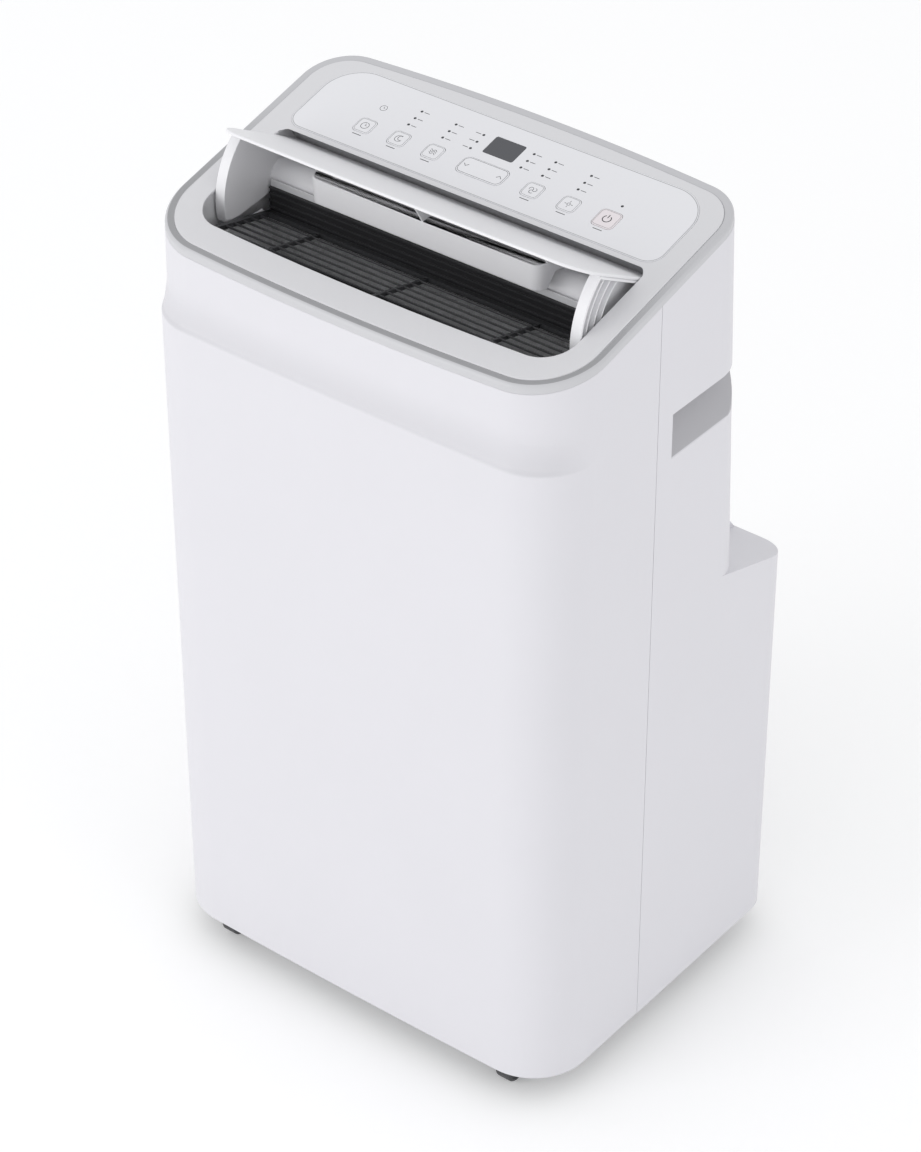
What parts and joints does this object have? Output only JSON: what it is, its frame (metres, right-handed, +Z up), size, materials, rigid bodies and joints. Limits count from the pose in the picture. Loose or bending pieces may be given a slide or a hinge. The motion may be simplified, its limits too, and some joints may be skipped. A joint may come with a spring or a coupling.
{
  "type": "portable air conditioner",
  "caption": "Upright portable air conditioner on casters with an inclined top, a motorised louver flap over a black outlet grille, touch keys, side grips and a rear hose collar.",
  "frame": {"origin": "on the floor under the middle of the cabinet's bounding box", "axes": "+Z up, -Y towards the front (the louver and control side), +X to the right of the cabinet as seen along +Y"},
  "size_m": [0.435, 0.3538, 0.8222],
  "materials": {
    "shell_white": "satin",
    "trim_grey": "satin",
    "cover_white": "satin",
    "well_white": "satin",
    "grille_black": "satin",
    "duct_foam": "matte foam",
    "louver_white": "satin",
    "pin_white": "satin",
    "motor_steel": "satin",
    "overlay_white": "satin film",
    "display_dark": "gloss",
    "light_dark": "gloss",
    "board_green": "satin",
    "key_white": "satin",
    "power_tint": "satin",
    "coil_aluminium": "finned",
    "fan_black": "satin",
    "tray_grey": "satin",
    "compressor_black": "satin",
    "rubber_black": "matte",
    "collar_grey": "satin",
    "pipe_copper": "bare",
    "case_steel": "satin",
    "capacitor_silver": "satin",
    "mesh_grey": "woven mesh",
    "fork_dark": "satin",
    "wheel_grey": "satin",
    "screw_steel": "zinc"
  },
  "bodies": {
    "cabinet": {"base_pan": "tray_grey", "blower_motor": "motor_steel", "blower_scroll": "duct_foam", "capacitor": "capacitor_silver", "case_screws": "screw_steel", "compressor": "compressor_black", "compressor_mounts": "rubber_black", "condenser_coil": "coil_aluminium", "control_board": "board_green", "control_overlay": "overlay_white", "cord_bushing": "rubber_black", "discharge_pipe": "pipe_copper", "display_window": "display_dark", "drip_tray": "tray_grey", "electrical_box": "case_steel", "evaporator_coil": "coil_aluminium", "exhaust_collar": "collar_grey", "exhaust_duct": "tray_grey", "exhaust_motor": "motor_steel", "exhaust_scroll": "tray_grey", "front_shell": "shell_white", "liquid_pipe": "pipe_copper", "louver_motor": "motor_steel", "outlet_duct": "duct_foam", "outlet_grille": "grille_black", "outlet_well": "well_white", "power_board": "board_green", "rear_shell": "shell_white", "splash_motor": "motor_steel", "status_lights": "light_dark", "suction_pipe": "pipe_copper", "top_cover": "cover_white", "trim_ring": "trim_grey"},
    "louver": {"louver_plate": "louver_white", "louver_frame": "louver_white", "louver_pins": "pin_white"},
    "temperature_rocker": {"temperature_rocker": "key_white"},
    "blower_wheel": {"blower_wheel": "fan_black"},
    "exhaust_wheel": {"exhaust_wheel": "fan_black"},
    "splash_wheel": {"splash_wheel": "fan_black"},
    "upper_filter": {"upper_filter_frame": "shell_white", "upper_filter_mesh": "mesh_grey"},
    "lower_filter": {"lower_filter_frame": "shell_white", "lower_filter_mesh": "mesh_grey"},
    "upper_drain_plug": {"upper_drain_plug": "rubber_black"},
    "lower_drain_plug": {"lower_drain_plug": "rubber_black"},
    "timer_key": {"timer_key": "key_white"},
    "sleep_key": {"sleep_key": "key_white"},
    "swing_key": {"swing_key": "key_white"},
    "fan_key": {"fan_key": "key_white"},
    "mode_key": {"mode_key": "key_white"},
    "power_key": {"power_key": "power_tint"},
    "fork_front_left": {"caster_fork_front_left": "fork_dark"},
    "wheel_front_left": {"caster_wheel_front_left": "wheel_grey"},
    "fork_front_right": {"caster_fork_front_right": "fork_dark"},
    "wheel_front_right": {"caster_wheel_front_right": "wheel_grey"},
    "fork_rear_left": {"caster_fork_rear_left": "fork_dark"},
    "wheel_rear_left": {"caster_wheel_rear_left": "wheel_grey"},
    "fork_rear_right": {"caster_fork_rear_right": "fork_dark"},
    "wheel_rear_right": {"caster_wheel_rear_right": "wheel_grey"}
  },
  "joints": [
    {"name": "louver_swing", "type": "hinge", "parent": "cabinet", "child": "louver", "pos_m": [0, -0.0299, 0.7475], "axis": [1, 0, 0], "range_deg": [-10, 42.66]},
    {"name": "timer_press", "type": "slide", "parent": "cabinet", "child": "timer_key", "axis": [0, 0.2358, -0.9718], "range_m": [0, 0.0006], "stiffness_N_per_m": 800, "springref_m": -0.0004},
    {"name": "sleep_press", "type": "slide", "parent": "cabinet", "child": "sleep_key", "axis": [0, 0.2358, -0.9718], "range_m": [0, 0.0006], "stiffness_N_per_m": 800, "springref_m": -0.0004},
    {"name": "swing_press", "type": "slide", "parent": "cabinet", "child": "swing_key", "axis": [0, 0.2358, -0.9718], "range_m": [0, 0.0006], "stiffness_N_per_m": 800, "springref_m": -0.0004},
    {"name": "fan_press", "type": "slide", "parent": "cabinet", "child": "fan_key", "axis": [0, 0.2358, -0.9718], "range_m": [0, 0.0006], "stiffness_N_per_m": 800, "springref_m": -0.0004},
    {"name": "mode_press", "type": "slide", "parent": "cabinet", "child": "mode_key", "axis": [0, 0.2358, -0.9718], "range_m": [0, 0.0006], "stiffness_N_per_m": 800, "springref_m": -0.0004},
    {"name": "power_press", "type": "slide", "parent": "cabinet", "child": "power_key", "axis": [0, 0.2358, -0.9718], "range_m": [0, 0.0006], "stiffness_N_per_m": 800, "springref_m": -0.0004},
    {"name": "temperature_rock", "type": "hinge", "parent": "cabinet", "child": "temperature_rocker", "pos_m": [-0.0015, 0.01849, 0.78231], "axis": [0, 0.9718, 0.2358], "range_deg": [-1.5, 1.5], "stiffness_Nm_per_rad": 0.5},
    {"name": "blower_spin", "type": "hinge", "parent": "cabinet", "child": "blower_wheel", "pos_m": [0, -0.092, 0.555], "axis": [0, 1, 0], "continuous": true},
    {"name": "exhaust_spin", "type": "hinge", "parent": "cabinet", "child": "exhaust_wheel", "pos_m": [0, 0.1, 0.16], "axis": [0, 1, 0], "continuous": true},
    {"name": "splash_spin", "type": "hinge", "parent": "cabinet", "child": "splash_wheel", "pos_m": [0.104, 0.121, 0.053], "axis": [0, 1, 0], "continuous": true},
    {"name": "upper_filter_pull", "type": "slide", "parent": "cabinet", "child": "upper_filter", "axis": [0, 0.9987, 0.0515], "range_m": [0, 0.04]},
    {"name": "lower_filter_pull", "type": "slide", "parent": "cabinet", "child": "lower_filter", "axis": [0, 1, 0], "range_m": [0, 0.04]},
    {"name": "upper_drain_pull", "type": "slide", "parent": "cabinet", "child": "upper_drain_plug", "axis": [0, 1, 0], "range_m": [0, 0.025]},
    {"name": "lower_drain_pull", "type": "slide", "parent": "cabinet", "child": "lower_drain_plug", "axis": [0, 1, 0], "range_m": [0, 0.025]},
    {"name": "swivel_front_left", "type": "hinge", "parent": "cabinet", "child": "fork_front_left", "pos_m": [-0.16, -0.137, 0.035], "axis": [0, 0, 1], "continuous": true},
    {"name": "roll_front_left", "type": "hinge", "parent": "fork_front_left", "child": "wheel_front_left", "pos_m": [-0.16, -0.146, 0.013], "axis": [1, 0, 0], "continuous": true},
    {"name": "swivel_front_right", "type": "hinge", "parent": "cabinet", "child": "fork_front_right", "pos_m": [0.16, -0.137, 0.035], "axis": [0, 0, 1], "continuous": true},
    {"name": "roll_front_right", "type": "hinge", "parent": "fork_front_right", "child": "wheel_front_right", "pos_m": [0.16, -0.146, 0.013], "axis": [1, 0, 0], "continuous": true},
    {"name": "swivel_rear_left", "type": "hinge", "parent": "cabinet", "child": "fork_rear_left", "pos_m": [-0.16, 0.137, 0.035], "axis": [0, 0, 1], "continuous": true},
    {"name": "roll_rear_left", "type": "hinge", "parent": "fork_rear_left", "child": "wheel_rear_left", "pos_m": [-0.16, 0.128, 0.013], "axis": [1, 0, 0], "continuous": true},
    {"name": "swivel_rear_right", "type": "hinge", "parent": "cabinet", "child": "fork_rear_right", "pos_m": [0.16, 0.137, 0.035], "axis": [0, 0, 1], "continuous": true},
    {"name": "roll_rear_right", "type": "hinge", "parent": "fork_rear_right", "child": "wheel_rear_right", "pos_m": [0.16, 0.128, 0.013], "axis": [1, 0, 0], "continuous": true}
  ]
}
